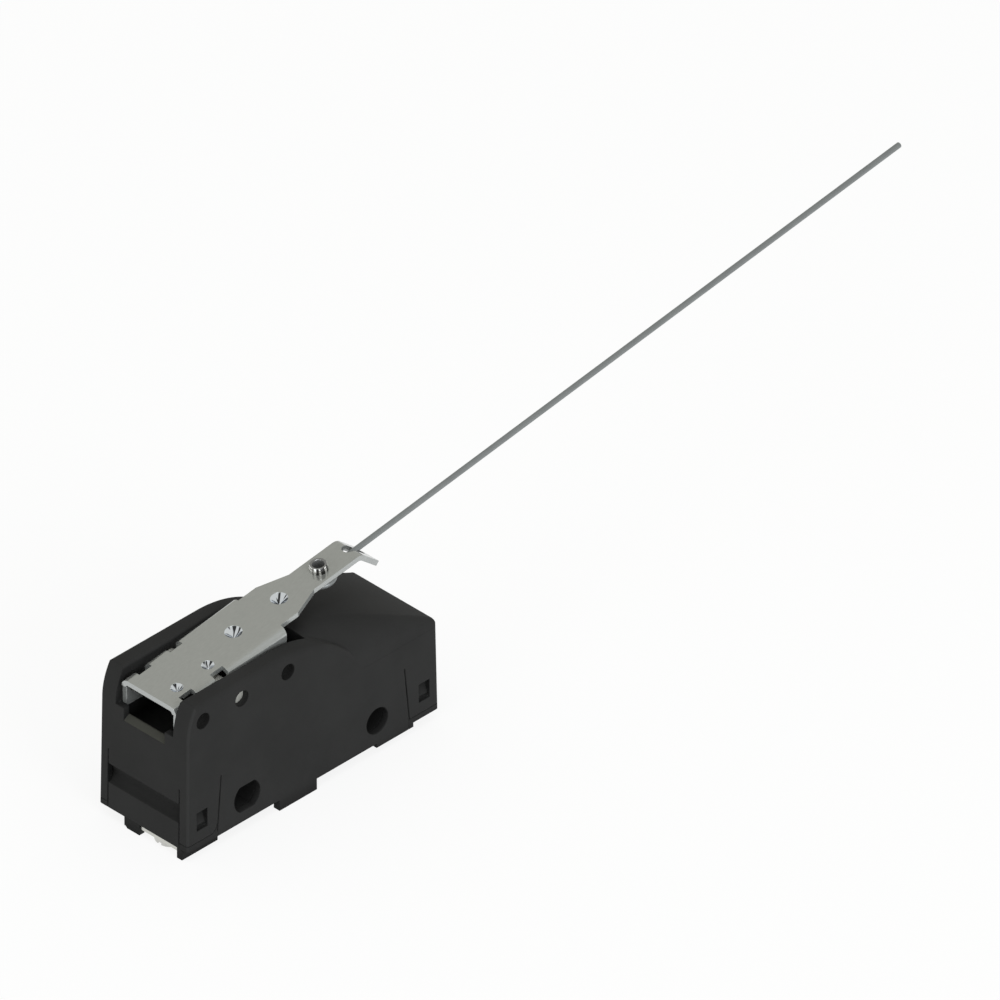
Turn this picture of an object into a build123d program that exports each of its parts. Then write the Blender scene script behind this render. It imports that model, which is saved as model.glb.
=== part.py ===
from build123d import *
import os
from math import atan2, cos, degrees, radians, sin, sqrt, tan

# Snap-action switch in a moulded case, worked by a sheet-metal lever with a long straight wire.
# Working frame of this file, in millimetres: X runs from the lever's pivot end to the far end of the case,
# Y across the case from its middle plane, Z up from the lower edge of the cover.
# Each finished piece is moved so that the origin is the middle of the round mounting hole.

# Case
CASE_LENGTH = 49.1
CASE_WIDTH = 17.5
END_DRAFT = 1.0
SIDE_DRAFT = 0.5
CASE_CORNER = 0.5
SIDE_WALL = 1.15
END_WALL = 1.2
FOOT_DEPTH = 1.8

# Mounting holes: a round one and a flat-sided slot, one inch apart
HOLE_SPACING = 25.4
HOLE_X = 37.05
HOLE_Z = 3.85
HOLE_R = 2.1
SLOT_X = HOLE_X - HOLE_SPACING
SLOT_R = 2.525

# Cheeks on both sides of the lever
CHEEK_TOP = 23.6
CHEEK_INNER = 5.65
CHEEK_NOSE_R = 10.8
CHEEK_NOSE_Z = 17.84
CHEEK_ARC_R = 19.1
CHEEK_ARC_X = 18.7
CHEEK_ARC_END = 34.5
CHEEK_ROUND = 0.8
CHEEK_INNER_ROUND = 0.5

# Hump behind the lever: an arc along the case, with shoulders that get sharper towards the far end
HUMP_R = 56.0
HUMP_X = 20.64
HUMP_Z = -33.43
SHOULDERS = ((25.0, 3.6), (28.5, 5.2), (32.0, 5.3), (36.0, 4.4), (40.0, 2.9), (45.0, 1.7), (49.5, 0.7))
HUMP_SKIN = 1.5
ROOM_HALF = 5.6

# Pocket between the cheeks, and the plunger's guide that stands in it
DECK_TOP = 14.0
DECK_UNDER = 12.6
POCKET_END = 25.7
LIP_TOP = 16.05
LIP_RISE = 0.7
LIP_DEPTH = 1.35
LIP_HALF = 4.02
SHOULDER_TOP = 18.1
GUIDE_START = 13.2
GUIDE_END = 22.2
GUIDE_HALF = 4.1
GUIDE_TOP = 18.8

# Tabs on the lower edge of the cover's side walls
TAB_X = (17.9, 25.2)
LIP_TAB_X = (36.9, 44.1)
LIP_TAB_Z = -0.7

# Snap corners of the cover
TONGUE_SIDE_X = (5.75, 6.65)
TONGUE_END_Y = 7.0
TONGUE_FOOT_Z = 0.97
TONGUE_TOP_Z = 9.95
TONGUE_ROUND = 1.2
SLIT = 0.2
WINDOW_X = (1.8, 3.9)
WINDOW_Z = (2.8, 5.85)
PLAY = 0.03
LEDGE_TOP = 0.87

# Grip groove across each end
GROOVE_R = 1.9
GROOVE_DEPTH = 1.0
GROOVE_Z = 5.85

# Terminal base
BASE_HALF = CASE_WIDTH / 2 - SIDE_WALL - PLAY
BASE_TOP = 7.4
NUB_X = (1.95, 3.7)
FOOT_END = 7.0
RIB = 1.0
RIB_HALF = 6.4
END_RIB_Y = (0.84, 3.8)
SIDE_RIB_Y = 2.7
SIDE_RIB_END = 7.5
POST_Y = (3.0, 4.6)
POST_HALF = 1.6
STRIP = 0.8
STRIP_TOP = -0.05
STRIP_Y = (-6.45, 0.75)
RISER_HALF = 1.8
SCREW_Y = -2.7
SCREW_HEAD_R = 2.4
SCREW_HEAD_LOW = -1.75
SCREW_R = 1.5
SCREW_TIP = 4.6
SCREW_SLOT = 0.8
SCREW_CROSS = 1.3
WASHER = 0.25

# Lever: folded sheet, tilted up from its pivot end, with the bent tab that guides the wire
SHEET = 0.8
LEVER_TILT = 7.69
PLUNGER_X = 17.69
LEVER_Z = 24.4
LEVER_START = 1.2
FLANGE_START = 1.45
LEVER_HALF = 5.4
FOLD_R = 1.3
FLANGE_FOOT = 17.75
FLANGE_END = 22.75
ARM_HALF = 4.15
ARM_TAPER_X = (26.15, 30.95)
TIP_HALF = 2.46
CREST_X = 40.24
TAB_LENGTH = 4.4
TAB_ANGLE = 47.0
TAB_BEND_R = 1.9
PIVOT_X = 10.85
PIVOT_Z = 20.8
PIN_R = 1.25
SPARE_HOLES_X = (3.3, 19.8)
PIN_RECESS = 0.92
DIMPLES = (
    (PLUNGER_X, 0, 1.3, 0.65),
    (26.6, 0, 1.3, 0.65),
    (4.55, -2.15, 0.95, 0.3),
    (10.56, -2.15, 0.95, 0.3),
)
NOTCHES_X = ((3.2, 5.6), (9.2, 11.6))
NOTCH_Y = 3.85
NOTCH_DEPTH = 2.1
TIP_SLOT = (1.7, 1.84)

# Wire and its rivet
WIRE_R = 0.43
WIRE_TILT = 8.28
WIRE_END_X = 149.0
EYE_R = 2.15
EYE_TURN = 300.0
RIVET_X = 34.36
RIVET_R = 1.34
RIVET_BORE = 0.85
RIVET_RISE = 1.04

# Switching parts inside
PLUNGER_R = 1.7
PLUNGER_COLLAR_R = 2.6
PLUNGER_TOP = 22.85
ROCKER_X = 7.6
ROCKER_Z = 10.4
ROCKER_TOP = 11.2
ROCKER_END = 21.0
ROCKER_HALF = 2.2
TRUNNION_R = 0.8
ARM = 0.5
ARM_WIDE = 2.7
ARM_WINDOW = (1.5, 32.6)
RIVET_SHANK = 0.8
SPRING_R = 0.95
SPRING_WIRE_R = 0.17
SPRING_TURNS = 7
ARM_PIVOT_X = 24.4
ARM_PIVOT_Z = 9.9
CONTACT_X = 40.5
CONTACT_R = 1.6
RISERS = {"common": (6.1, -1.8, 0.7), "closed": (26.0, 3.2, 5.4), "open": (42.2, -1.8, 0.7)}
RISER_TOP = {"common": BASE_TOP + STRIP, "closed": ARM_PIVOT_Z + 2.6, "open": BASE_TOP + STRIP}
STRIPS_X = {"common": (0.3, 6.9), "closed": (18.2, 25.4), "open": (42.2, 48.8)}
RIBS_X = (8.0, 15.0, 33.6, 40.6)
KNIFE_Y = (1.6, 2.6)
FORK_X = 19.5
FORK_HALF = 1.35
TERMINAL_X = {"common": 2.8, "closed": 21.6, "open": 46.3}


def block(x0, x1, y0, y1, z0, z1):
    """Box between two corners."""
    return Pos((x0 + x1) / 2, (y0 + y1) / 2, (z0 + z1) / 2) * Box(x1 - x0, y1 - y0, z1 - z0)


def across(x, z, r, y0, y1):
    """Round bar along Y."""
    return Pos(x, (y0 + y1) / 2, z) * Rot(90, 0, 0) * Cylinder(r, y1 - y0)


def upright(x, y, r, z0, z1):
    """Round bar along Z."""
    return Pos(x, y, (z0 + z1) / 2) * Cylinder(r, z1 - z0)


def side_prism(edges, half):
    """Closed outline in the XZ plane, extruded to both sides of the middle plane."""
    return extrude(make_face(edges), amount=half, dir=(0, 1, 0), both=True)


def polygon_prism(points, y0, y1):
    """Polygon of (x, z) points, extruded from y0 to y1."""
    corners = [(x, y0, z) for x, z in points]
    return extrude(make_face(Polyline(*corners, close=True)), amount=y1 - y0, dir=(0, 1, 0))


def turned(points, x, y):
    """Closed outline of (radius, z) points turned about the vertical through x, y."""
    outline = make_face(Polyline(*[(r, 0, z) for r, z in points], close=True))
    return Pos(x, y, 0) * revolve(outline, Axis.Z)


def mirrored(shape):
    """The shape and its twin on the other side of the middle plane."""
    return shape + mirror(shape, about=Plane.XZ)


def both_ends(shape):
    """The shape and its twin at the far end of the case."""
    return shape + mirror(shape, about=Plane.YZ.offset(CASE_LENGTH / 2))


def half_width(z):
    return CASE_WIDTH / 2 - z * tan(radians(SIDE_DRAFT))


def crest(x):
    return HUMP_Z + sqrt(HUMP_R**2 - (x - HUMP_X) ** 2)


def tongue_corner(gap):
    """What the rounded lower corner of a near tongue leaves free, less a gap all round."""
    x = TONGUE_SIDE_X[0] - SLIT / 2
    centre_x = x - TONGUE_ROUND
    centre_z = TONGUE_FOOT_Z + TONGUE_ROUND
    corner = block(centre_x, x + SLIT / 2, TONGUE_END_Y + 0.1, 10, TONGUE_FOOT_Z - 0.3, centre_z - gap)
    return corner - across(centre_x, centre_z, TONGUE_ROUND + gap, 0, 12)


def mounting_slot():
    flats = block(SLOT_X - SLOT_R, SLOT_X + SLOT_R, -12, 12, HOLE_Z - HOLE_R, HOLE_Z + HOLE_R)
    return across(SLOT_X, HOLE_Z, SLOT_R, -12, 12) & flats


def save(name, shape):
    """Moves a piece into the frame of the round mounting hole and writes it."""
    piece = Pos(-HOLE_X, 0, -HOLE_Z) * shape
    piece.label = name
    export_step(piece, f"parts/{name}.step")


def drafted_block(x0, x1, end_draft, high):
    """Block with drafted sides, from below the feet to the height given."""
    faces = []
    for z in (-FOOT_DEPTH, high):
        inset = z * tan(radians(end_draft))
        outline = Rectangle(x1 - x0 - 2 * inset, 2 * half_width(z))
        faces.append(Pos((x0 + x1) / 2, 0, z) * outline)
    return loft(faces, ruled=True)


def case_envelope():
    """Outside of the case before its top is shaped: drafted walls, rounded corners, and the nose."""
    body = drafted_block(0, CASE_LENGTH, END_DRAFT, CHEEK_TOP + 0.5)
    nose_x = CHEEK_NOSE_Z * tan(radians(END_DRAFT))
    centre_x = nose_x + CHEEK_NOSE_R

    def on_nose(turn):
        turn = radians(turn)
        return (centre_x + CHEEK_NOSE_R * cos(turn), 0, CHEEK_NOSE_Z + CHEEK_NOSE_R * sin(turn))

    top = on_nose(125)
    outline = [
        Polyline(top, (-5, 0, top[2]), (-5, 0, CHEEK_NOSE_Z), on_nose(180)),
        ThreePointArc(on_nose(180), on_nose(150), top),
    ]
    body -= side_prism(Curve() + outline, CASE_WIDTH)
    corners = [e for e in body.edges() if e.bounding_box().size.Z > 4 and e.bounding_box().size.Y < 2]
    return fillet(corners, CASE_CORNER)


def cheek_block(envelope):
    """Front body: flat-topped cheeks with an arc that falls away behind them."""
    arc_centre_z = CHEEK_TOP - CHEEK_ARC_R
    mid_x = (CHEEK_ARC_X + CHEEK_ARC_END) / 2
    mid_z = arc_centre_z + sqrt(CHEEK_ARC_R**2 - (mid_x - CHEEK_ARC_X) ** 2)
    end_z = arc_centre_z + sqrt(CHEEK_ARC_R**2 - (CHEEK_ARC_END - CHEEK_ARC_X) ** 2)
    outline = [
        Polyline((CHEEK_ARC_END, 0, end_z), (CHEEK_ARC_END, 0, -5), (-4, 0, -5), (-4, 0, CHEEK_TOP)),
        Line((-4, 0, CHEEK_TOP), (CHEEK_ARC_X, 0, CHEEK_TOP)),
        ThreePointArc((CHEEK_ARC_X, 0, CHEEK_TOP), (mid_x, 0, mid_z), (CHEEK_ARC_END, 0, end_z)),
    ]
    bar = drafted_block(-4, CHEEK_ARC_END, 0, CHEEK_TOP + 0.5) & side_prism(Curve() + outline, CASE_WIDTH)
    shoulders = bar.edges().filter_by(lambda e: e.center().Z > 19 and e.bounding_box().size.X > 10)
    shoulders = [e for e in shoulders if abs(e.center().Y) > 7]
    return fillet(shoulders, CHEEK_ROUND) & envelope


def hump(envelope):
    """Rounded rear top: cross-sections along an arc, each with its own shoulder radius."""
    sections = []
    for x, radius in SHOULDERS:
        top = crest(x)
        low = 9.0
        points = [(-half_width(low) + 0.01, low), (-half_width(top) + 0.01, top)]
        points += [(half_width(top) - 0.01, top), (half_width(low) - 0.01, low)]
        outline = Polygon(*points, align=None)
        outline = fillet(outline.vertices().group_by(Axis.Y)[-1], radius)
        sections.append(Plane((x, 0, 0), x_dir=(0, 1, 0), z_dir=(1, 0, 0)) * outline)
    return loft(sections) & envelope


def cover(envelope):
    rear = envelope & block(30, 51, -12, 12, -5, 14)
    body = cheek_block(envelope) + rear + hump(envelope)

    # Pocket for the lever, with the low lip and the two steps of its mouth
    pocket = block(LIP_DEPTH, POCKET_END, -CHEEK_INNER, CHEEK_INNER, DECK_TOP, 30)
    pocket += block(-1, LIP_DEPTH, -CHEEK_INNER, CHEEK_INNER, SHOULDER_TOP, 30)
    ramp = [(-1, LIP_TOP), (0.3, LIP_TOP), (LIP_DEPTH, LIP_TOP + LIP_RISE), (LIP_DEPTH, 20), (-1, 20)]
    pocket += polygon_prism(ramp, -LIP_HALF, LIP_HALF)
    body -= pocket
    inner_tops = [e for e in body.edges() if abs(abs(e.center().Y) - CHEEK_INNER) < 0.05]
    inner_tops = [e for e in inner_tops if e.center().Z > CHEEK_TOP - 0.1 and e.length > 10]
    body = fillet(inner_tops, CHEEK_INNER_ROUND)
    body += block(GUIDE_START, GUIDE_END, -GUIDE_HALF, GUIDE_HALF, DECK_TOP - 0.5, GUIDE_TOP)
    body -= upright(PLUNGER_X, 0, PLUNGER_R + 0.05, 10, 25)

    # Room inside for the switching parts
    inner_half = CASE_WIDTH / 2 - SIDE_WALL
    body -= block(END_WALL, CASE_LENGTH - END_WALL, -inner_half, inner_half, -5, DECK_UNDER)
    def under_crest(x):
        return (x, 0, crest(x) - HUMP_SKIN)

    x0 = POCKET_END + HUMP_SKIN
    x1 = CASE_LENGTH - 2 * END_WALL
    room = [
        Polyline(under_crest(x1), (x1, 0, DECK_UNDER - 1), (x0, 0, DECK_UNDER - 1), under_crest(x0)),
        ThreePointArc(under_crest(x0), under_crest((x0 + x1) / 2), under_crest(x1)),
    ]
    body -= side_prism(Curve() + room, ROOM_HALF)

    # Lower edge of the side walls: two deep tabs, a shallow one, and the rest level
    level = ((-2, TAB_X[0]), (TAB_X[1], LIP_TAB_X[0]), (LIP_TAB_X[1], 52))
    for x0, x1 in level:
        body -= block(x0, x1, -12, 12, -5, 0)
    body -= block(*LIP_TAB_X, -12, 12, -5, LIP_TAB_Z)

    # Snap corners: slits, rounded foot and window
    tongue_gap = block(-1, TONGUE_SIDE_X[0] + SLIT, TONGUE_END_Y, 10, -3, TONGUE_FOOT_Z)
    side_slit = polygon_prism(
        [
            (TONGUE_SIDE_X[0] - SLIT / 2, 0.5),
            (TONGUE_SIDE_X[0] + SLIT / 2, 0.5),
            (TONGUE_SIDE_X[1] + SLIT / 2, TONGUE_TOP_Z),
            (TONGUE_SIDE_X[1] - SLIT / 2, TONGUE_TOP_Z),
        ],
        inner_half - 0.1,
        10,
    )
    end_slit = block(-1, END_WALL + 0.1, TONGUE_END_Y - SLIT / 2, TONGUE_END_Y + SLIT / 2, 0.5, TONGUE_TOP_Z)
    window = block(*WINDOW_X, inner_half - 0.1, 10, *WINDOW_Z)
    body -= both_ends(mirrored(tongue_gap + side_slit + end_slit + window))
    body -= mirrored(tongue_corner(0))

    # Grip groove across each end
    groove = across(GROOVE_DEPTH - GROOVE_R, GROOVE_Z, GROOVE_R, -TONGUE_END_Y + 0.1, TONGUE_END_Y - 0.1)
    body -= both_ends(groove)

    # Mounting holes and pivot holes
    body -= across(HOLE_X, HOLE_Z, HOLE_R, -12, 12)
    body -= mounting_slot()
    for x in (PIVOT_X, *SPARE_HOLES_X):
        body -= across(x, PIVOT_Z, PIN_R, -12, 12)
    return body


def base(envelope):
    """Moulded base: ledges and nubs for the cover, ribs between the terminals, and bearing posts."""
    near = END_WALL + PLAY
    body = block(near, CASE_LENGTH - near, -BASE_HALF, BASE_HALF, 0, BASE_TOP)
    ledge = block(-1, TONGUE_SIDE_X[0] + 0.15, TONGUE_END_Y + 0.1, 10, 0, LEDGE_TOP)
    nub = polygon_prism([(0, 5.6), (0, 3.5), (0.85, 3.5), (0.25, 5.6)], 0, NUB_X[1] - NUB_X[0])
    nub = Pos(NUB_X[1], BASE_HALF, 0) * Rot(0, 0, 90) * nub
    body += both_ends(mirrored(ledge + nub))
    step_x = CASE_LENGTH - TONGUE_SIDE_X[0] - SLIT / 2
    body += mirrored(block(step_x, LIP_TAB_X[1], BASE_HALF - 0.5, 10, LIP_TAB_Z, LEDGE_TOP))
    body += mirrored(tongue_corner(SLIT / 2))
    # Foot and barrier ribs between the terminals, all standing on the mounting plane
    for x0, top in ((0.05, -PLAY), (near, 0.5)):
        body += block(x0, FOOT_END, -BASE_HALF, -BASE_HALF + RIB, -FOOT_DEPTH, top)
        body += block(x0, SIDE_RIB_END, SIDE_RIB_Y, END_RIB_Y[1], -FOOT_DEPTH + 0.3, top)
    end_rib = block(0.05, 0.05 + RIB, *END_RIB_Y, -FOOT_DEPTH, -PLAY)
    corner = end_rib.edges().filter_by(Axis.X).sort_by(lambda e: e.center().Z - e.center().Y)[0]
    body += chamfer(corner, 0.55)
    for x in RIBS_X:
        body += block(x, x + RIB, -RIB_HALF, RIB_HALF, -FOOT_DEPTH, 0.5)
    # Mounting holes
    body -= across(HOLE_X, HOLE_Z, HOLE_R, -12, 12)
    body -= mounting_slot()
    # Screw clearances and the slots that the strips rise through
    for x in TERMINAL_X.values():
        body -= upright(x, SCREW_Y, SCREW_R + 0.25, -1, SCREW_TIP + 0.6)
    for x0, y0, y1 in RISERS.values():
        body -= block(x0 - PLAY, x0 + STRIP + PLAY, y0 - PLAY, y1 + PLAY, -1, 10)
    # Posts that carry the rocker's trunnions
    post = block(ROCKER_X - POST_HALF, ROCKER_X + POST_HALF, *POST_Y, BASE_TOP - 0.5, ROCKER_Z + POST_HALF)
    post -= across(ROCKER_X, ROCKER_Z, TRUNNION_R + 0.05, -12, 12)
    body += mirrored(post)
    return body & envelope


def lever_place():
    return Pos(PLUNGER_X, 0, LEVER_Z) * Rot(0, -LEVER_TILT, 0)


def along(x):
    """Distance along the lever's top face from the plunger's line, for a point at x on that face."""
    return (x - PLUNGER_X) / cos(radians(LEVER_TILT))


def lever():
    """One folded blank: channel at the pivot, tapering arm, and a tab bent down at the tip."""
    # Channel section
    section = Polyline(
        (-LEVER_HALF, -12),
        (-LEVER_HALF, 0),
        (LEVER_HALF, 0),
        (LEVER_HALF, -12),
        (LEVER_HALF - SHEET, -12),
        (LEVER_HALF - SHEET, -SHEET),
        (-LEVER_HALF + SHEET, -SHEET),
        (-LEVER_HALF + SHEET, -12),
        close=True,
    )
    section = make_face(section)
    section = fillet(section.vertices().group_by(Axis.Y)[-1], FOLD_R)
    section = fillet(section.vertices().filter_by(lambda v: abs(v.Y + SHEET) < 0.01), FOLD_R - SHEET)
    channel = Plane((along(-3), 0, 0), x_dir=(0, 1, 0), z_dir=(1, 0, 0)) * section
    channel = extrude(channel, amount=along(FLANGE_END + 3) - along(-3))
    channel = lever_place() * channel
    channel &= block(LEVER_START, FLANGE_END, -8, 8, FLANGE_FOOT, 30)
    plate_under = LEVER_Z - (PLUNGER_X - LEVER_START) * tan(radians(LEVER_TILT)) - SHEET
    channel -= mirrored(block(0, FLANGE_START, LEVER_HALF - SHEET, 8, 0, plate_under - 0.4))

    # Arm and tab, cut to the blank's outline
    crest_at = along(CREST_X)
    dx = cos(radians(TAB_ANGLE))
    dz = sin(radians(TAB_ANGLE))
    bend = tan(radians(TAB_ANGLE / 2))
    strip = [
        (along(20), 0),
        (crest_at, 0),
        (crest_at + TAB_LENGTH * dx, -TAB_LENGTH * dz),
        (crest_at + TAB_LENGTH * dx - SHEET * dz, -TAB_LENGTH * dz - SHEET * dx),
        (crest_at - SHEET * bend, -SHEET),
        (along(20), -SHEET),
    ]
    strip_face = make_face(Polyline(*[(x, 0, z) for x, z in strip], close=True))
    strip_face = fillet(strip_face.vertices().filter_by(lambda v: abs(v.X - crest_at) < 0.01), TAB_BEND_R)
    inner_corner = crest_at - SHEET * bend
    inner_vertex = strip_face.vertices().filter_by(lambda v: abs(v.X - inner_corner) < 0.01)
    strip_face = fillet(inner_vertex, TAB_BEND_R - SHEET)
    arm = extrude(strip_face, amount=6, dir=(0, 1, 0), both=True)
    far = crest_at + TAB_LENGTH + 1
    outline = [
        (along(20), ARM_HALF),
        (along(ARM_TAPER_X[0]), ARM_HALF),
        (along(ARM_TAPER_X[1]), TIP_HALF),
        (far, TIP_HALF),
    ]
    outline += [(x, -y) for x, y in reversed(outline)]
    arm &= extrude(Pos(0, 0, -8) * make_face(Polyline(*outline, close=True)), amount=12)
    slot = Pos(crest_at + 0.65, 0, 0) * SlotCenterToCenter(*TIP_SLOT)
    arm -= extrude(Pos(0, 0, -8) * slot, amount=12)
    arm -= upright(along(RIVET_X), 0, RIVET_R + 0.01, -2, 2)
    arm = lever_place() * arm
    body = channel + arm

    # Square windows in the folds, over the pivot holes
    for x0, x1 in NOTCHES_X:
        notch = block(along(x0), along(x1), NOTCH_Y, 6, -NOTCH_DEPTH, 1)
        body -= lever_place() * mirrored(notch)
    # Pressed dimples: two deep ones on the middle line, two shallow ones off it
    for x, y, r, depth in DIMPLES:
        s = along(x)
        low = -SHEET - depth
        tip = low + 0.35
        body += lever_place() * turned([(0, -SHEET), (r + 0.05, -SHEET), (r * 0.4, low), (0, low)], s, y)
        body -= lever_place() * turned([(0, 0.01), (r, 0.01), (r * 0.08, tip), (0, tip)], s, y)
    for x in (PIVOT_X, *SPARE_HOLES_X):
        body -= across(x, PIVOT_Z, PIN_R + 0.05, -8, 8)
    return body


def wire():
    """Straight wire whose near end is bent into an eye round the rivet."""
    neck = 1.0
    neck_x = sqrt((EYE_R + neck) ** 2 - neck**2)
    meet = degrees(atan2(neck, neck_x))
    end_x = (WIRE_END_X - RIVET_X) / cos(radians(WIRE_TILT))
    shank = Line((end_x, 0, 0), (neck_x, 0, 0))
    bend = CenterArc((neck_x, neck, 0), neck, 270, -(90 - meet))
    eye = CenterArc((0, 0, 0), EYE_R, meet, EYE_TURN)
    path = Wire([shank.edge(), bend.edge(), eye.edge()])
    body = sweep(Plane((end_x, 0, 0), z_dir=(-1, 0, 0)) * Circle(WIRE_R), path=path)
    tip = body.edges().group_by(Axis.X)[-1]
    body = fillet(tip, 0.15)
    plate_top = LEVER_Z + (RIVET_X - PLUNGER_X) * tan(radians(LEVER_TILT))
    plate_under = plate_top - SHEET / cos(radians(LEVER_TILT))
    return Pos(RIVET_X, 0, plate_under - WIRE_R - 0.07) * Rot(0, -WIRE_TILT, 0) * body


def rivet():
    """Tubular rivet: a collar above the arm, and a flare inside the wire's eye below it."""
    low = -SHEET - 2 * WIRE_R + 0.03
    outline = [
        (RIVET_BORE, low),
        (EYE_R - WIRE_R - 0.04, low),
        (RIVET_R, -SHEET - 0.02),
        (RIVET_R, RIVET_RISE - 0.35),
        (RIVET_R - 0.14, RIVET_RISE),
        (RIVET_BORE, RIVET_RISE),
    ]
    return lever_place() * turned(outline, along(RIVET_X), 0)


def pivot_pin():
    half = half_width(PIVOT_Z) - PIN_RECESS
    pin = across(PIVOT_X, PIVOT_Z, PIN_R, -half, half)
    ends = pin.edges().filter_by(GeomType.CIRCLE)
    return chamfer(ends, 0.15)


def plunger():
    """Button with a rounded tip and a collar that stops it under the deck."""
    outline = [
        (0, ROCKER_TOP + 0.1),
        (0.5, ROCKER_TOP + 0.1),
        (1.6, ROCKER_TOP + 0.35),
        (PLUNGER_COLLAR_R, ROCKER_TOP + 0.6),
        (PLUNGER_COLLAR_R, DECK_UNDER - 0.1),
        (PLUNGER_R, DECK_UNDER - 0.1),
        (PLUNGER_R, PLUNGER_TOP - 0.9),
        (PLUNGER_R - 0.25, PLUNGER_TOP - 0.4),
        (PLUNGER_R - 0.8, PLUNGER_TOP - 0.05),
        (0, PLUNGER_TOP),
    ]
    return turned(outline, PLUNGER_X, 0)


def rocker():
    """Inner lever that the plunger presses: two trunnions at one end, the spring's hook at the other."""
    heel = ROCKER_X - 1.1
    side = [
        (heel, 9.5),
        (ROCKER_X + 3, 9.2),
        (ROCKER_END, 9.9),
        (ROCKER_END, 10.6),
        (PLUNGER_X + 2, ROCKER_TOP),
        (ROCKER_X, ROCKER_TOP + 0.1),
        (heel, ROCKER_TOP - 0.4),
    ]
    body = polygon_prism(side, -ROCKER_HALF, ROCKER_HALF)
    body += across(ROCKER_X, ROCKER_Z, TRUNNION_R, -POST_Y[1] + 0.2, POST_Y[1] - 0.2)
    return body - block(ROCKER_END - 2.0, ROCKER_END - 0.7, -0.9, 0.9, 8, 12)


def contact_arm():
    """Stiff bronze arm: two legs against the knife edges, and a bridge that the spring hooks into."""
    half, window_end = ARM_WINDOW
    end = CONTACT_X + CONTACT_R + 0.2
    body = block(ARM_PIVOT_X + 0.1, end, -ARM_WIDE, ARM_WIDE, ARM_PIVOT_Z, ARM_PIVOT_Z + ARM)
    body -= block(ARM_PIVOT_X - 1, window_end, -half, half, 9, 12)
    body -= block(window_end + 0.4, window_end + 0.9, -half + 0.5, half - 0.5, 9, 12)
    return body - upright(CONTACT_X, 0, RIVET_SHANK, 9, 12)


def moving_contact():
    """Two-headed contact rivet through the arm."""
    z = ARM_PIVOT_Z
    body = upright(CONTACT_X, 0, CONTACT_R, z + ARM, z + ARM + 0.5)
    body += upright(CONTACT_X, 0, CONTACT_R, z - 0.5, z)
    body += upright(CONTACT_X, 0, RIVET_SHANK, z - 0.2, z + ARM + 0.2)
    return body


def tension_spring():
    """Coil spring between the rocker's hook and the contact arm's bridge."""
    start = ROCKER_END + SPRING_WIRE_R + 0.03
    length = ARM_WINDOW[1] - SPRING_WIRE_R - 0.2 - start
    path = Helix(pitch=length / SPRING_TURNS, height=length, radius=SPRING_R)
    section = Plane(origin=path @ 0, z_dir=path % 0) * Circle(SPRING_WIRE_R)
    coil = sweep(section, path=path, is_frenet=True)
    return Pos(start, 0, ARM_PIVOT_Z + 0.3) * Rot(0, 90, 0) * coil


def terminal_strip(circuit):
    """Flat part of a terminal strip with its screw hole, and the riser through the base."""
    x0, x1 = STRIPS_X[circuit]
    low = STRIP_TOP - STRIP
    body = block(x0, x1, *STRIP_Y, low, STRIP_TOP)
    rise_x, y0, y1 = RISERS[circuit]
    body += block(rise_x, rise_x + STRIP, y0, y1, low, RISER_TOP[circuit])
    if y0 > STRIP_Y[1]:
        body += block(rise_x - 2.0, rise_x + STRIP, STRIP_Y[1] - 1.0, y1, low, STRIP_TOP)
    return body - upright(TERMINAL_X[circuit], SCREW_Y, SCREW_R + 0.02, -3, 3)


def common_strip():
    """Common terminal, with a run on top of the base that ends in two knife edges."""
    body = terminal_strip("common")
    top = RISER_TOP["common"]
    body += block(RISERS["common"][0], ARM_PIVOT_X - 0.05, -RISER_HALF, RISER_HALF, BASE_TOP, top)
    body += block(FORK_X, ARM_PIVOT_X, -KNIFE_Y[1], KNIFE_Y[1], BASE_TOP, top)
    body -= block(FORK_X + 1.0, ARM_PIVOT_X + 1, -FORK_HALF, FORK_HALF, BASE_TOP - 1, top + 1)
    knife = [
        (ARM_PIVOT_X - STRIP, BASE_TOP),
        (ARM_PIVOT_X, BASE_TOP),
        (ARM_PIVOT_X, ARM_PIVOT_Z + 0.25),
        (ARM_PIVOT_X - STRIP, ARM_PIVOT_Z + 0.9),
    ]
    return body + mirrored(polygon_prism(knife, *KNIFE_Y))


def closed_strip():
    """Normally closed terminal, with a run that crosses over the contact arm."""
    top = RISER_TOP["closed"]
    body = terminal_strip("closed")
    rise_x, y0, y1 = RISERS["closed"]
    body += block(rise_x, CONTACT_X + 1.7, y0, y1, top - STRIP, top)
    body += block(CONTACT_X - 1.7, CONTACT_X + 1.7, -1.7, y1, top - STRIP, top)
    return body


def open_strip():
    """Normally open terminal, with a short run under the contact arm."""
    end = RISERS["open"][0] + STRIP
    run = block(CONTACT_X - 1.7, end, -RISER_HALF, RISER_HALF, BASE_TOP, RISER_TOP["open"])
    return terminal_strip("open") + run


def washer(x):
    """Plain washer between a strip and its screw's head."""
    top = STRIP_TOP - STRIP
    ring = upright(x, SCREW_Y, SCREW_HEAD_R, top - WASHER, top)
    return ring - upright(x, SCREW_Y, SCREW_R + 0.1, -2, 1)


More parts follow.
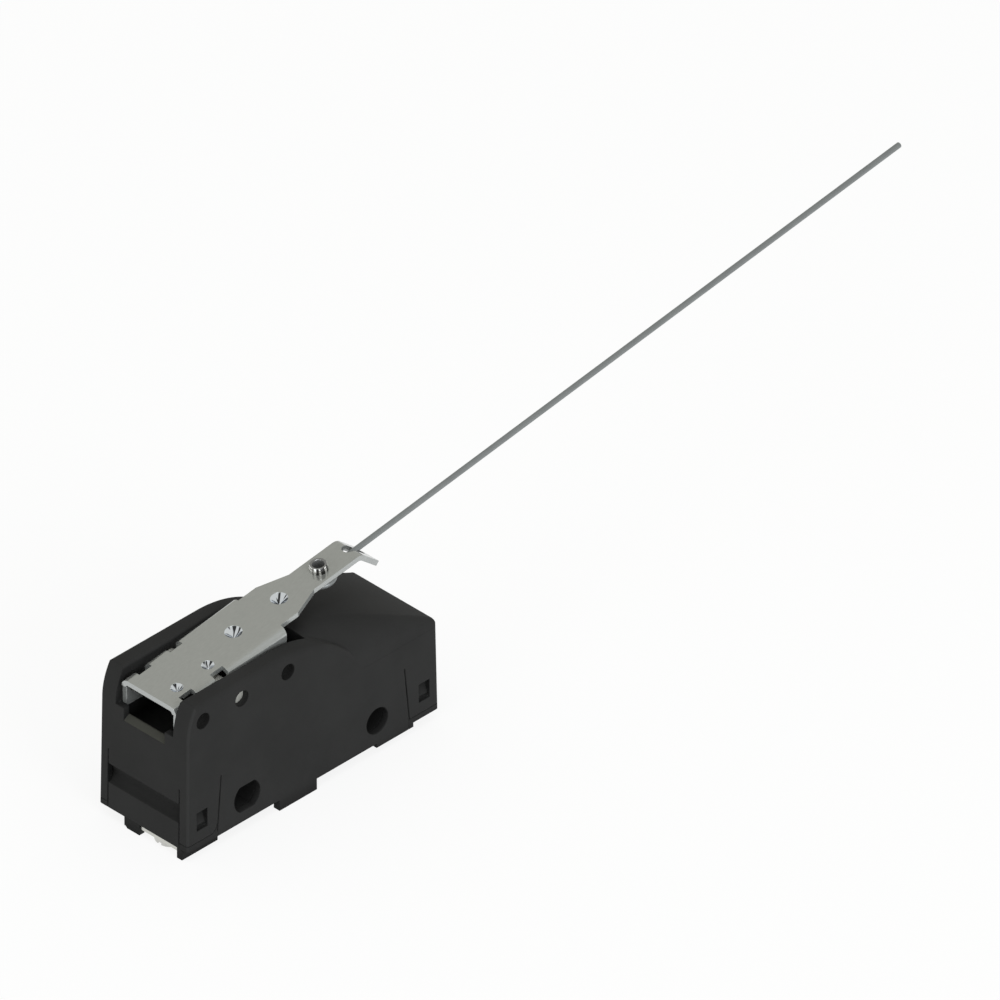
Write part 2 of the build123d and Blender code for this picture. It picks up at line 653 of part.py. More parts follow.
def terminal_screw(x):
    """Pan-head screw, head down, with a combined slot and cross recess."""
    head_top = STRIP_TOP - STRIP - WASHER
    outline = [
        (0, SCREW_HEAD_LOW),
        (SCREW_HEAD_R - 0.1, SCREW_HEAD_LOW),
        (SCREW_HEAD_R, SCREW_HEAD_LOW + 0.12),
        (SCREW_HEAD_R, head_top),
        (SCREW_R, head_top),
        (SCREW_R, SCREW_TIP - 0.4),
        (SCREW_R - 0.4, SCREW_TIP),
        (0, SCREW_TIP),
    ]
    body = turned(outline, x, SCREW_Y)
    slot_top = SCREW_HEAD_LOW + 0.45
    half = SCREW_SLOT / 2
    body -= block(x - 3.2, x + 3.2, SCREW_Y - half, SCREW_Y + half, -3, slot_top)
    body -= block(x - half, x + half, SCREW_Y - SCREW_CROSS, SCREW_Y + SCREW_CROSS, -3, slot_top)
    return body


os.makedirs("parts", exist_ok=True)
case = case_envelope()
save("cover_housing", cover(case))
save("terminal_base", base(case))
save("lever_channel", lever())
save("lever_wire", wire())
save("wire_rivet", rivet())
save("pivot_pin", pivot_pin())
save("plunger", plunger())
save("snap_rocker", rocker())
save("contact_arm", contact_arm())
save("moving_contact", moving_contact())
save("snap_spring", tension_spring())
save("common_strip", common_strip())
save("closed_strip", closed_strip())
save("open_strip", open_strip())
save("closed_contact", upright(CONTACT_X, 0, CONTACT_R, ARM_PIVOT_Z + 1.1, ARM_PIVOT_Z + 1.8))
save("open_contact", upright(CONTACT_X, 0, CONTACT_R, BASE_TOP + STRIP, BASE_TOP + STRIP + 0.4))
for circuit, x in TERMINAL_X.items():
    save(f"{circuit}_screw", terminal_screw(x))
    save(f"{circuit}_washer", washer(x))
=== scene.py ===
# %% [markdown]
# # A snap-action switch with a long wire on its lever
# The switch is already built as a solid model with working joints. This
# lesson loads that model, gives each piece the surface it has on the real
# object, remakes two small pieces, one turned and one coiled, and sets up
# the light, the floor and the camera.
# Everything is in metres, in the frame of the solid model: its origin is
# the middle of the round mounting hole, X runs along the case towards the
# free end of the wire, and Z points up.

# %% Load the model
import math

import bmesh
import bpy
from mathutils import Matrix, Vector


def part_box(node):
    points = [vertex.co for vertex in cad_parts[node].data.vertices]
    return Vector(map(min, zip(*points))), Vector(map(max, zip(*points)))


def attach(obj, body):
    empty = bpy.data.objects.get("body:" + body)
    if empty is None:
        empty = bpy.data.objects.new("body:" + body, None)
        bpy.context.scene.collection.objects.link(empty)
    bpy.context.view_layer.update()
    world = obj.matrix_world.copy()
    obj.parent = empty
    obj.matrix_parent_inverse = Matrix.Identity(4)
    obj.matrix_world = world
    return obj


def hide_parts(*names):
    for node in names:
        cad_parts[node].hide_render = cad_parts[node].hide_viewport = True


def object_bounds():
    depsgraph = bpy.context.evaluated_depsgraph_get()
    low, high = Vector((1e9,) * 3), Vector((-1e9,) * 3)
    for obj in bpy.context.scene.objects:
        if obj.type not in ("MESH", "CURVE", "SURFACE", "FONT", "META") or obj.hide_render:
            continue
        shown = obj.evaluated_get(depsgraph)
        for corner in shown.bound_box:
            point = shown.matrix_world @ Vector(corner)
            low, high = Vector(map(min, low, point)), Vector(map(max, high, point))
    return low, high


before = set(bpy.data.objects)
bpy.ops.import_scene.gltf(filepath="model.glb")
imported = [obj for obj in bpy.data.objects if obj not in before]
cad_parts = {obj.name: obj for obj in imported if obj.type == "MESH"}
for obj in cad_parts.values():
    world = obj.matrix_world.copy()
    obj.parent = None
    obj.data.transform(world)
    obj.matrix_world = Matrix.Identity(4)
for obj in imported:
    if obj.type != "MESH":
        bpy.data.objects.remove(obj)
CAD_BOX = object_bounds()
MM = 0.001
scene = bpy.context.scene

# %% [markdown]
# ## Camera
# The picture is drawn without perspective, from a corner at equal angles
# to all three axes. An orthographic camera would give exactly that, but
# other views of this scene are framed by the lens, so a very long lens
# does the same job: at 1500 mm the two ends of the switch differ in scale
# by about one percent.

# %% Long lens at equal angles to the axes
LOOK = Vector((1, 1, -1)).normalized()
TARGET = Vector((32.87, 0.04, 16.74)) * MM
VIEW_WIDTH = 139.2 * MM
LENS = 1500.0
SENSOR = 36.0

camera_data = bpy.data.cameras.new("camera")
camera_data.lens = LENS
camera_data.sensor_width = SENSOR
camera = bpy.data.objects.new("camera", camera_data)
scene.collection.objects.link(camera)
distance = VIEW_WIDTH * LENS / SENSOR
camera.location = TARGET - LOOK * distance
camera.rotation_mode = "QUATERNION"
camera.rotation_quaternion = LOOK.to_track_quat("-Z", "Y")
camera_data.clip_start = distance / 10
camera_data.clip_end = distance * 10
scene.camera = camera
print("camera distance:", round(distance, 2), "m")

# %% [markdown]
# ## A small language for shader maths
# Node trees are tedious to write out link by link. The class below wraps
# an output socket so that ordinary Python expressions build Math nodes.
# Besides the operators it has two masks that are used again and again.


# %% Expressions that become nodes
class Value:
    """A number that varies over the surface."""

    def __init__(self, tree, socket):
        self.tree = tree
        self.socket = socket

    def math(self, operation, *others):
        inputs = {0: self}
        for i, other in enumerate(others):
            inputs[i + 1] = other
        return self.tree.add("ShaderNodeMath", {"operation": operation}, inputs)

    def __add__(self, other):
        return self.math("ADD", other)

    __radd__ = __add__

    def __sub__(self, other):
        return self.math("SUBTRACT", other)

    def __rsub__(self, other):
        return self.tree.add("ShaderNodeMath", {"operation": "SUBTRACT"}, {0: other, 1: self})

    def __mul__(self, other):
        return self.math("MULTIPLY", other)

    __rmul__ = __mul__

    def __truediv__(self, other):
        return self.math("DIVIDE", other)

    def __rtruediv__(self, other):
        return self.tree.add("ShaderNodeMath", {"operation": "DIVIDE"}, {0: other, 1: self})

    def steps(self, low, high):
        """0 below low, 1 above high, smooth between."""
        settings = {"interpolation_type": "SMOOTHSTEP", "clamp": True}
        return self.tree.add("ShaderNodeMapRange", settings, {0: self, 1: low, 2: high, 3: 0.0, 4: 1.0})

    def within(self, low, high, soft):
        """1 from low to high, and 0 outside, with ends that take soft to change."""
        return self.steps(low - soft, low) * (1.0 - self.steps(high, high + soft))


print("numbers that vary over a surface can now be written as sums")

# %% [markdown]
# A material holds the node tree that those values belong to. Every node in
# it comes from one method, which sets the node's own settings first and
# then its inputs, by name or by number. All patterns read the object's own
# coordinates, in metres, so that they stay on a piece when it moves.


# %% A material under construction
class Finish:
    """A material, with short ways to its usual nodes."""

    def __init__(self, name):
        self.material = bpy.data.materials.new(name)
        self.material.use_nodes = True
        self.nodes = self.material.node_tree.nodes
        self.links = self.material.node_tree.links
        self.surface = self.nodes["Principled BSDF"]
        coordinates = self.nodes.new("ShaderNodeTexCoord")
        self.place = Value(self, coordinates.outputs["Object"])
        self.facing = Value(self, coordinates.outputs["Normal"])

    def add(self, kind, settings, inputs, output=0):
        node = self.nodes.new(kind)
        for key, setting in settings.items():
            setattr(node, key, setting)
        for key, item in inputs.items():
            self.feed(node.inputs[key], item)
        return Value(self, node.outputs[output])

    def feed(self, socket, item):
        if isinstance(item, Value):
            self.links.new(item.socket, socket)
        else:
            socket.default_value = item

    def set(self, **inputs):
        for key, item in inputs.items():
            self.feed(self.surface.inputs[key.replace("_", " ")], item)

    def parts(self, vector):
        """The X, Y and Z of a vector, such as self.place or self.facing."""
        node = self.nodes.new("ShaderNodeSeparateXYZ")
        self.links.new(vector.socket, node.inputs[0])
        return [Value(self, out) for out in node.outputs]

    def cloud(self, vector, scale, detail):
        """Noise from 0 to 1 over a vector."""
        inputs = {"Vector": vector, "Scale": scale, "Detail": detail}
        return self.add("ShaderNodeTexNoise", {}, inputs, "Fac")

    def noise(self, size_mm, detail, stretch=(1, 1, 1)):
        """Noise whose features are about size_mm across, longer along stretched axes."""
        scale = tuple(1 / s for s in stretch)
        place = self.add("ShaderNodeMapping", {}, {"Vector": self.place, "Scale": scale})
        return self.cloud(place, 1 / (size_mm * MM), detail)

    def star(self, dx, dy, turn, scale, detail):
        """Distance from an axis, and noise that changes round it and with turn(distance)."""
        away = (dx * dx + dy * dy).math("SQRT")
        inverse = 1.0 / away.math("MAXIMUM", 0.05 * MM)
        way = {"X": dx * inverse, "Y": dy * inverse, "Z": turn(away)}
        direction = self.add("ShaderNodeCombineXYZ", {}, way)
        return away, self.cloud(direction, scale, detail)

    def mix(self, mask, first, second):
        """Colour between first and second."""
        inputs = {"Factor": mask, 6: first, 7: second}
        return self.add("ShaderNodeMix", {"data_type": "RGBA"}, inputs, 2)

    def soft_edge(self, radius_mm):
        """A normal that rounds the shading at edges."""
        return self.add("ShaderNodeBevel", {"samples": 6}, {"Radius": radius_mm * MM}, "Normal")

    def bump(self, height, depth_mm, strength, normal=None):
        inputs = {"Height": height, "Distance": depth_mm * MM, "Strength": strength}
        if normal is not None:
            inputs["Normal"] = normal
        return self.add("ShaderNodeBump", {}, inputs, "Normal")


print("materials can now be written in a few lines")

# %% [markdown]
# Colours are written as the level from 0 to 255 that a screen would show,
# times a tint. Under this scene's light a colour renders close to the
# level it is written as. Shaders want linear values, so one function
# turns the level into those.

# %% Greys and their tints
NEUTRAL = (1.0, 1.0, 1.0)
# This warm tint is painted light, used for the lip's painted highlight.
WARM_LIGHT_TINT = (1.0, 1.0, 0.93)
COOL = (0.992, 1.0, 0.978)
# This tint is painted light, for faces of the lever that do not lie level.
STEEP_LIGHT_TINT = (0.985, 1.0, 0.995)
BRIGHT = (0.98, 1.0, 1.03)


def grey(level, tint):
    """Colour of an 8-bit screen level, as the linear values that shaders use."""
    out = []
    for t in tint:
        c = min(1.0, level * t / 255)
        out.append(c / 12.92 if c <= 0.04045 else ((c + 0.055) / 1.055) ** 2.4)
    return (*out, 1.0)


print("mid grey in linear values:", round(grey(128, NEUTRAL)[0], 3))

# %% [markdown]
# ## Moulded plastic
# The case and the base are dark filled plastic: almost black, matt, with
# the fine even texture of an eroded steel mould. Up close such a surface
# is not one flat colour. It has a slow cloudiness from the filler, a very
# fine grain, and gloss that changes a little from place to place. The
# grain is a bump of about a hundredth of a millimetre. The upright
# corners are painted a little lighter, a painted highlight, and hollows
# are painted darker than open faces, a painted shade. An Ambient
# Occlusion node measures how open a place is: hollows get the painted
# shade, and the deepest ones are painted paler again, painted light that
# stands in for the light reaching into them.
# Moulded edges are never quite sharp. Rounding every edge of the solid
# would cost many faces, so a Bevel node rounds the shading there, and the
# grain is laid on top of that.

# %% Dark moulding
CLOUD_SPREAD = 0.05
CORNER_HIGHLIGHT = 1.12
HOLLOW_SHADE, HOLLOW_SHADE_SPREAD = 0.75, 0.03
DEEP_HOLLOW_LIGHT = 1.7
SKY_REACH = 3.0 * MM
MOULDED_GLOSS = 0.07


def moulded(name, level, tint, roughness, edge_mm=0.3, grain_mm=0.16):
    """Moulded plastic, with painted light and shade. Its colour and openness are kept for more of it.
    """
    finish = Finish(name)

    def share(factor):
        return grey(level * factor, tint)

    cloud = finish.noise(6.0, 3.0)
    grain = finish.noise(grain_mm, 2.0)
    shade = (cloud * 0.7 + grain * 0.3).steps(0.3, 0.7)
    plain = finish.mix(shade, share(1 - CLOUD_SPREAD), share(1 + CLOUD_SPREAD))
    across, along, _ = finish.parts(finish.facing)
    corner = (across * along).math("ABSOLUTE").steps(0.12, 0.5)
    # Painted highlight: upright corners, found from the facing, are painted lighter.
    corner_highlit = finish.mix(corner, plain, share(CORNER_HIGHLIGHT))
    # Painted shade: hollows, where the Ambient Occlusion node finds little open sky, are painted
    # darker.
    hollow_shade = finish.mix(shade, share(HOLLOW_SHADE - HOLLOW_SHADE_SPREAD), share(HOLLOW_SHADE + HOLLOW_SHADE_SPREAD))
    open_sky = finish.add("ShaderNodeAmbientOcclusion", {"samples": 8}, {"Distance": SKY_REACH}, "AO")
    shaded = finish.mix(open_sky.steps(0.6, 0.98), hollow_shade, corner_highlit)
    # Painted light: the deepest hollows are painted paler again, standing in for light reaching into
    # them.
    finish.colour = finish.mix(open_sky.steps(0.1, 0.4), share(DEEP_HOLLOW_LIGHT), shaded)
    finish.open_sky = open_sky
    finish.set(
        Base_Color=finish.colour,
        Roughness=roughness - 0.04 + cloud * 0.08,
        Normal=finish.bump(grain, 0.010, 0.4, finish.soft_edge(edge_mm)),
    )
    finish.surface.inputs["Specular IOR Level"].default_value = MOULDED_GLOSS
    return finish


base_finish = moulded("dark_moulding_base", 40, NEUTRAL, 0.65, 0.12).material
plunger_finish = moulded("plunger_moulding", 92, (1.5, 0.55, 0.42), 0.4, 0.1, 0.3).material
print("moulded finishes:", base_finish.name, plunger_finish.name)

# %% [markdown]
# ## The case's own marks
# Two places on the case differ from the rest. The sloping lip under the
# lever's mouth is painted pale and slightly olive, a painted highlight of
# the warm light that falls on it, and the round grip groove across each
# end is painted darker, most of all along its middle, a painted shade.
# Each gets a mask: the lip from its place and from facing upwards, the
# groove from its height and from being less open than the face around it.

# %% Painted highlight on the lip, painted shade in the groove
LIP_LOW, LIP_HIGH = 12.05 * MM, 12.92 * MM
LIP_END = -35.7 * MM
GROOVE_MIDDLE = 1.9 * MM

case = moulded("dark_moulding", 43, NEUTRAL, 0.65)
x, _, z = case.parts(case.place)
_, _, up = case.parts(case.facing)
# Painted highlight: the lip that faces upwards is painted pale and olive, as if lit.
near_end = 1.0 - x.steps(LIP_END, LIP_END + 0.1 * MM)
lit_lip = near_end * z.within(LIP_LOW, LIP_HIGH, 0.05 * MM) * up.steps(0.2, 0.5)
# Painted shade: the grip groove is painted darker, most of all along its middle.
from_middle = (z - GROOVE_MIDDLE).math("ABSOLUTE")
middle = 1.0 - from_middle.steps(0.1 * MM, 0.9 * MM)
less_open = 1.0 - case.open_sky.steps(0.9, 1.0)
groove_shade = less_open * (1.0 - from_middle.steps(1.6 * MM, 1.9 * MM))
groove_painted_shade = case.mix(groove_shade * (0.32 + middle * 0.28), case.colour, grey(14, NEUTRAL))
case.set(Base_Color=case.mix(lit_lip, groove_painted_shade, grey(66, WARM_LIGHT_TINT)))
case_finish = case.material
print("case finish:", case_finish.name)

# %% [markdown]
# ## Metals
# The wire is drawn, so fine lines run along it, and it is dull. The pin
# is ground, the strips and the inner pieces are pressed from rolled sheet
# with faint lines from the rollers, and the screws are plated. A metallic
# surface's colour is the colour of its reflection. Bare metal is fully
# metallic here, while the wire and the pin have a greyed skin that sends
# part of the light back diffuse, so they are only about half metallic.
# Roughness and the stretch and depth of the noise tell the metals apart.


# %% Drawn, ground, pressed and plated metal
def metal(name, level, tint, roughness, line_mm, stretch, depth_mm, spread=0.06, metallic=1.0):
    finish = Finish(name)
    lines = finish.noise(line_mm, 3.0, stretch)
    shade = lines * 0.6 + finish.noise(3.0, 2.0) * 0.4
    dark = grey(level * (1 - spread), tint)
    light = grey(level * (1 + spread), tint)
    finish.set(
        Base_Color=finish.mix(shade.steps(0.3, 0.7), dark, light),
        Metallic=metallic,
        Roughness=roughness - 0.02 + shade * 0.04,
        Normal=finish.bump(lines, depth_mm, 0.3),
    )
    return finish.material


ALONG_X = (30, 1, 1)
EVEN = (1, 1, 1)
wire_finish = metal("drawn_wire", 130, (0.975, 1.0, 1.005), 0.35, 0.08, ALONG_X, 0.002, 0.04, 0.5)
pin_finish = metal("ground_pin", 200, (1.0, 1.0, 0.97), 0.25, 0.1, EVEN, 0.002, 0.04, 0.4)
rocker_finish = metal("pressed_steel", 185, COOL, 0.3, 0.15, ALONG_X, 0.004)
bronze_finish = metal("bronze_strip", 205, (1.0, 0.8, 0.55), 0.28, 0.12, ALONG_X, 0.004)
contact_finish = metal("contact_rivets", 232, (1.0, 0.99, 0.95), 0.2, 0.4, EVEN, 0.004)
spring_finish = metal("spring_wire", 175, NEUTRAL, 0.25, 0.1, EVEN, 0.002)
strip_finish = metal("plated_strip", 198, (1.0, 1.0, 0.97), 0.25, 0.12, ALONG_X, 0.004, 0.04)
screw_finish = metal("nickel_plate", 196, (1.0, 1.0, 0.98), 0.22, 0.35, EVEN, 0.003, 0.04)
print("metal finishes made, from", wire_finish.name, "to", screw_finish.name)

# %% [markdown]
# ## The lever's own finish
# The lever is pressed steel with a thin pale passivation film, so part of
# its light comes back diffuse and the rest as a fairly sharp reflection.
# Its rolled faces lie nearly level. Every face that does not lie level,
# sheared edges, folds and flanges alike, is painted a little lighter and
# cooler, painted light picked by facing. Where the press pushed the
# dimples in, the film is gone: the punch left bright skin, and the dark
# radial streaks on it are painted reflection. One material holds all
# three. A mask made from the distance to each dimple's centre picks the
# bright skin, and noise on the direction from that centre makes the
# painted reflection streaks. The mask leaves out all that lies below the
# plate.

# %% Rolled strip with punched dimples
HOLE = Vector((37.05, 0, 3.85))
DIMPLES = ((17.69, 0.0, 1.3), (26.6, 0.0, 1.3), (4.55, -2.15, 0.95), (10.56, -2.15, 0.95))
PLATE_LOW, PLATE_HIGH = 18.0 - HOLE.z, 18.2 - HOLE.z
FILM_METALLIC = 0.6
LEVER_EDGE = 0.08


def punched_skin(finish):
    """Masks of the bright skin in the dimples, and of the dark streaks in it, which are painted
    reflection.
    """
    x, y, z = finish.parts(finish.place)
    bright = reflection_streaks = None
    for centre_x, centre_y, radius in DIMPLES:
        dx = x - (centre_x - HOLE.x) * MM
        dy = y - centre_y * MM
        away, star = finish.star(dx, dy, lambda away: centre_x + away * 300.0, 2.2, 1.0)
        inside = 1.0 - away.steps(radius * 0.94 * MM, radius * MM)
        # Painted reflection: dark radial streaks stand in for the surroundings mirrored in the cone.
        dark = inside * (1.0 - star.steps(0.4, 0.5))
        bright = inside if bright is None else bright.math("MAXIMUM", inside)
        reflection_streaks = dark if reflection_streaks is None else reflection_streaks + dark
    upper = z.steps(PLATE_LOW * MM, PLATE_HIGH * MM)
    return bright * upper, reflection_streaks * upper


def lever_skin():
    finish = Finish("bright_rolled_steel")
    bright, reflection_streaks = punched_skin(finish)
    lines = finish.noise(0.12, 3.0, ALONG_X)
    shade = lines.steps(0.3, 0.7)
    _, _, up = finish.parts(finish.facing)
    level = up.math("ABSOLUTE").steps(0.75, 0.95)
    rolled = finish.mix(shade, grey(160, COOL), grey(166, COOL))
    # Painted light: faces that do not lie level, edges, folds and flanges, are painted lighter and
    # cooler.
    steep_faces_lit = finish.mix(shade, grey(170, STEEP_LIGHT_TINT), grey(177, STEEP_LIGHT_TINT))
    plain = finish.mix(level, steep_faces_lit, rolled)
    # Bright punched skin, with its painted reflection streaks.
    punched_and_reflected = finish.mix(reflection_streaks, grey(240, BRIGHT), grey(64, BRIGHT))
    finish.set(
        Base_Color=finish.mix(bright, plain, punched_and_reflected),
        Metallic=FILM_METALLIC + bright * (1.0 - FILM_METALLIC),
        Roughness=0.14 + lines * 0.03 - bright * 0.08,
        Normal=finish.bump(lines, 0.0008, 0.3, finish.soft_edge(LEVER_EDGE)),
    )
    return finish.material


lever_finish = lever_skin()
print("lever finish with", len(DIMPLES), "punched dimples")

# %% [markdown]
# ## Dress the nodes
# The solid model's own meshes stay as they are. Each one is given a
# single material. The rivet and the spring get theirs too, though their
# nodes are hidden further down, where finer pieces stand for them.

# %% One finish per node
FINISHES = {
    "cover_housing": case_finish,
    "terminal_base": base_finish,
    "plunger": plunger_finish,
    "lever_channel": lever_finish,
    "lever_wire": wire_finish,
    "wire_rivet": screw_finish,
    "pivot_pin": pin_finish,
    "snap_rocker": rocker_finish,
    "contact_arm": bronze_finish,
    "moving_contact": contact_finish,
    "closed_contact": contact_finish,
    "open_contact": contact_finish,
    "snap_spring": spring_finish,
}
for circuit in ("common", "closed", "open"):
    FINISHES[circuit + "_strip"] = strip_finish
    FINISHES[circuit + "_screw"] = screw_finish
    FINISHES[circuit + "_washer"] = screw_finish

for name, finish in FINISHES.items():
    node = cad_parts[name]
    node.data.materials.clear()
    node.data.materials.append(finish)
print("dressed", len(FINISHES), "nodes")

# %% [markdown]
# ## Turned and coiled pieces
# Two small pieces look better remade than as plain solids. Both are made
# by spinning: the rivet spins an outline once round its axis, and the
# spring spins a ring round its axis many times while it moves along. The
# helper below turns a worked mesh into a finished piece: doubles merged,
# normals outwards, smooth except where two faces meet at a clear angle.


# %% From a worked mesh to a piece
def piece(name, work, finish, sharp_from=40):
    bmesh.ops.remove_doubles(work, verts=work.verts, dist=0.0005 * MM)
    bmesh.ops.recalc_face_normals(work, faces=work.faces)
    for face in work.faces:
        face.smooth = True
    mesh = bpy.data.meshes.new(name)
    work.to_mesh(mesh)
    work.free()
    mesh.set_sharp_from_angle(angle=math.radians(sharp_from))
    mesh.materials.append(finish)
    obj = bpy.data.objects.new(name, mesh)
    scene.collection.objects.link(obj)
    print(name, "faces:", len(mesh.polygons))
    return obj


# %% [markdown]
# ## Tubular rivet
# The rivet is a short tube. Its flange clamps the wire's eye under the
# plate, and its collar stands a millimetre above the plate, with a
# turned step half way up and a rounded rim. It stands square on the
# plate, so its place and its tilt follow from the plate's slope. It is
# plated bright outside, with upright light and dark streaks that are
# painted reflection of the plate and the case, and its bore is dull and
# darker. The masks come from the distance to its axis.

# %% Plated outside, dull bore
LEVER_TILT = math.radians(7.69)
ARM_X, ARM_Z = 17.69, 24.4
RIVET_X = 34.36 - HOLE.x
RIVET_Z = ARM_Z + (RIVET_X + HOLE.x - ARM_X) * math.tan(LEVER_TILT) - HOLE.z
BORE_LEVEL, RIM_LEVEL = 115, 140


def rivet_skin():
    finish = Finish("bright_rivet")
    x, y, z = finish.parts(finish.place)
    height = z - RIVET_Z * MM
    dx = x - RIVET_X * MM + height * math.tan(LEVER_TILT)
    away, reflection_marks = finish.star(dx, y, lambda away: height * 60.0, 2.1, 0.5)
    side = away.steps(1.2 * MM, 1.24 * MM)
    bore = 1.0 - away.steps(0.86 * MM, 0.9 * MM)
    # Painted reflection: upright light and dark streaks stand in for the plate and the case mirrored in
    # it.
    painted_reflection = finish.mix(reflection_marks.steps(0.44, 0.54), grey(70, NEUTRAL), grey(250, NEUTRAL))
    plated_and_reflected = finish.mix(side, grey(RIM_LEVEL, NEUTRAL), painted_reflection)
    finish.set(
        Base_Color=finish.mix(bore, plated_and_reflected, grey(BORE_LEVEL, NEUTRAL)),
        Metallic=1.0 - bore * 0.6,
        Roughness=0.08 + bore * 0.3,
    )
    return finish.material


rivet_finish = rivet_skin()
print("rivet at", round(RIVET_X, 2), round(RIVET_Z, 2), "mm")

# %% [markdown]
# The outline is drawn once, as radius and height from the plate in
# millimetres, in the plane of the axis. Spun once round with its ends
# merged it is a closed ring, with no pole to close.

# %% Spin the rivet
RIVET_STEPS = 72
RIVET_OUTLINE = (
    (0.85, -1.58),
    (0.95, -1.63),
    (1.55, -1.63),
    (1.66, -1.52),
    (1.50, -1.00),
    (1.34, -0.86),
    (1.34, 0.50),
    (1.29, 0.55),
    (1.27, 0.92),
    (1.24, 0.99),
    (1.17, 1.03),
    (1.00, 1.03),
    (0.90, 0.98),
    (0.85, 0.88),
)

work = bmesh.new()
points = [work.verts.new((r * MM, 0, z * MM)) for r, z in RIVET_OUTLINE]
for a, b in zip(points, points[1:] + points[:1]):
    work.edges.new((a, b))
bmesh.ops.spin(
    work,
    geom=work.verts[:] + work.edges[:],
    cent=(0, 0, 0),
    axis=(0, 0, 1),
    angle=2 * math.pi,
    steps=RIVET_STEPS,
    use_merge=True,
)
place = Matrix.Translation(Vector((RIVET_X, 0, RIVET_Z)) * MM) @ Matrix.Rotation(-LEVER_TILT, 4, "Y")
bmesh.ops.transform(work, matrix=place, verts=work.verts)
rivet = piece("rivet_tube", work, rivet_finish)
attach(rivet, "lever")
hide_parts("wire_rivet")

# %% [markdown]
# ## Tension spring
# The spring pulls the rocker's hook towards the bridge of the contact
# arm. It is a close coil with a half loop at each end. A ring of eight
# points, the section of its wire, is spun round the axis with a small
# step along it for each turn. At each end the last ring is then bent out
# of the coil by a quarter turn, and round into the half loop.

# %% Sizes of the coil
COIL_RADIUS = 0.78 * MM
WIRE_RADIUS = 0.16 * MM
WIRE_SIDES = 8
COIL_TURNS = 14
STEPS_A_TURN = 20
HOOK_BEND = 0.34 * MM
BEND_STEPS = 6
LOOP_STEPS = 14
spring_low, spring_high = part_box("snap_spring")
hook_length = COIL_RADIUS + HOOK_BEND + WIRE_RADIUS
coil_start = spring_low.x + hook_length
coil_length = spring_high.x - spring_low.x - 2 * hook_length
axis_z = (spring_low.z + spring_high.z) / 2
print("coil of", COIL_TURNS, "turns,", round(coil_length / MM, 2), "mm long")


# %% Spin the coil and its hooks
def spun(work, geom, cent, axis, angle, steps, dvec=(0, 0, 0)):
    """Spin a ring and give back the ring at the far end."""
    made = bmesh.ops.spin(work, geom=geom, cent=cent, axis=axis, angle=angle, steps=steps, dvec=dvec)
    return made["geom_last"]


work = bmesh.new()
bmesh.ops.create_circle(work, cap_ends=False, segments=WIRE_SIDES, radius=WIRE_RADIUS)
bmesh.ops.rotate(work, verts=work.verts, cent=(0, 0, 0), matrix=Matrix.Rotation(math.pi / 2, 3, "X"))
bmesh.ops.translate(work, verts=work.verts, vec=(coil_start, 0, axis_z + COIL_RADIUS))
first = work.verts[:] + work.edges[:]
steps = COIL_TURNS * STEPS_A_TURN
advance = (coil_length / steps, 0, 0)
last = spun(work, first, (0, 0, axis_z), (1, 0, 0), COIL_TURNS * 2 * math.pi, steps, advance)
for ring, side in ((first, -1), (last, 1)):
    bend_x = (coil_start if side < 0 else coil_start + coil_length) + side * HOOK_BEND
    ring = spun(work, ring, (bend_x, 0, axis_z + COIL_RADIUS), (0, 0, 1), math.pi / 2, BEND_STEPS)
    ring = spun(work, ring, (bend_x, side * HOOK_BEND, axis_z), (0, side, 0), math.pi, LOOP_STEPS)
    edges = [e for e in ring if isinstance(e, bmesh.types.BMEdge)]
    bmesh.ops.contextual_create(work, geom=edges)
spring = piece("tension_coil", work, spring_finish)
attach(spring, "spring")
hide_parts("snap_spring")

# %% [markdown]
# ## Floor
# The switch stands on the ends of its ribs. The background of the picture
# is plain white, so the floor is pale and is shown white where the camera
# and the metal look at it, while it still takes the object's shadow.

# %% Pale floor
FLOOR_Z = CAD_BOX[0].z
FLOOR_HALF = 6.0
FLOOR_GAP = 0.02 * MM
FLOOR_COLOUR = 0.94
FLOOR_GLOW = 0.86
floor_mesh = bpy.data.meshes.new("floor")
work = bmesh.new()
bmesh.ops.create_grid(work, x_segments=1, y_segments=1, size=FLOOR_HALF)
bmesh.ops.translate(work, verts=work.verts, vec=(0, 0, FLOOR_Z - FLOOR_GAP))
work.to_mesh(floor_mesh)
work.free()
floor = bpy.data.objects.new("floor", floor_mesh)
scene.collection.objects.link(floor)
print("floor at", round(FLOOR_Z / MM, 2), "mm")

# %% [markdown]
# The Light Path node tells which rays come from the camera or from a
# mirror. For those, most of the floor's look is a plain white glow with
# a strength of 1, and the rest is its own surface, which carries the
# shadow. The light that falls on the object knows nothing of the glow.

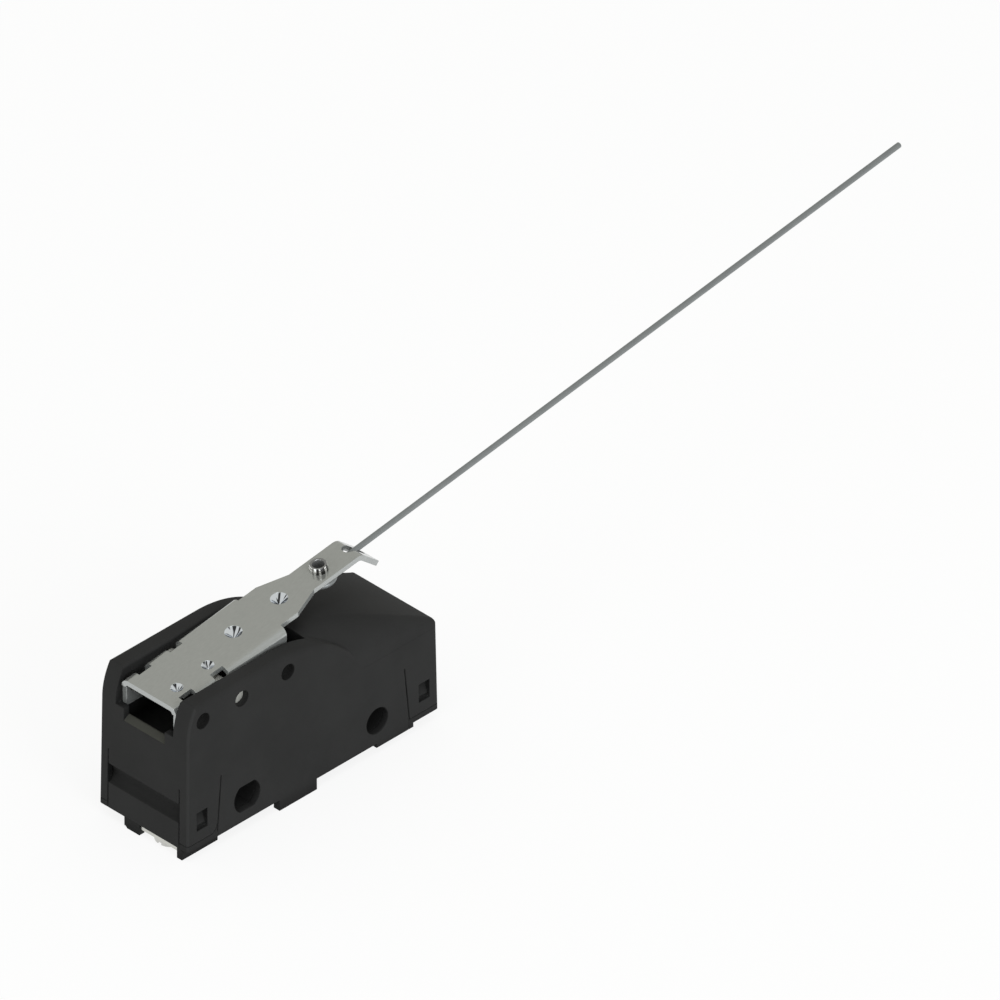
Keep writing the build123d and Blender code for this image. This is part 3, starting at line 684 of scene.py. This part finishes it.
# %% The floor's white
floor_finish = Finish("pale_floor")
floor_finish.set(Base_Color=(FLOOR_COLOUR, FLOOR_COLOUR, FLOOR_COLOUR, 1.0), Roughness=0.9)
rays = floor_finish.nodes.new("ShaderNodeLightPath")
seen = Value(floor_finish, rays.outputs["Is Camera Ray"]).math(
    "MAXIMUM", Value(floor_finish, rays.outputs["Is Glossy Ray"])
)
glow = floor_finish.add("ShaderNodeEmission", {}, {"Color": (1, 1, 1, 1), "Strength": 1.0}, "Emission")
shown = floor_finish.nodes.new("ShaderNodeMixShader")
output = floor_finish.nodes["Material Output"]
floor_finish.links.new((seen * FLOOR_GLOW).socket, shown.inputs[0])
floor_finish.links.new(floor_finish.surface.outputs[0], shown.inputs[1])
floor_finish.links.new(glow.socket, shown.inputs[2])
floor_finish.links.new(shown.outputs[0], output.inputs["Surface"])
floor_mesh.materials.append(floor_finish.material)
print("floor shown", round(100 * FLOOR_GLOW), "% white")

# %% [markdown]
# ## Light
# The picture's light is soft and nearly even. A grey world, slightly
# warm, gives most of it. Three large soft lamps, slightly cool, give the
# rest: one from the near side, one from the near end and a weak one from
# above, so that each face the camera sees gets about its written level.

# %% World and lamps
SKY_TINT = (1.0, 1.0, 0.945)
SKY_LEVEL = 0.65
LAMP_TINT = (0.96, 1.0, 1.04)
LAMP_AIM = Vector((0.0, 0.0, 0.01))
world = bpy.data.worlds.new("studio")
scene.world = world
world.use_nodes = True
sky = world.node_tree.nodes["Background"]
sky.inputs["Color"].default_value = (*SKY_TINT, 1)
sky.inputs["Strength"].default_value = SKY_LEVEL


def softbox(name, place, size, power):
    data = bpy.data.lights.new(name, "AREA")
    data.shape = "SQUARE"
    data.size = size
    data.energy = power
    data.color = LAMP_TINT
    lamp = bpy.data.objects.new(name, data)
    scene.collection.objects.link(lamp)
    lamp.location = place
    lamp.rotation_mode = "QUATERNION"
    lamp.rotation_quaternion = (LAMP_AIM - Vector(place)).to_track_quat("-Z", "Y")


softbox("side", (-0.2, -1.35, 0.5), 0.7, 8.0)
softbox("end", (-1.3, -0.1, 0.4), 0.5, 2.4)
softbox("top", (-0.3, -0.3, 1.3), 0.6, 3.0)
scene.view_settings.view_transform = "Standard"
print("lamps:", sorted(lamp.name for lamp in bpy.data.lights))
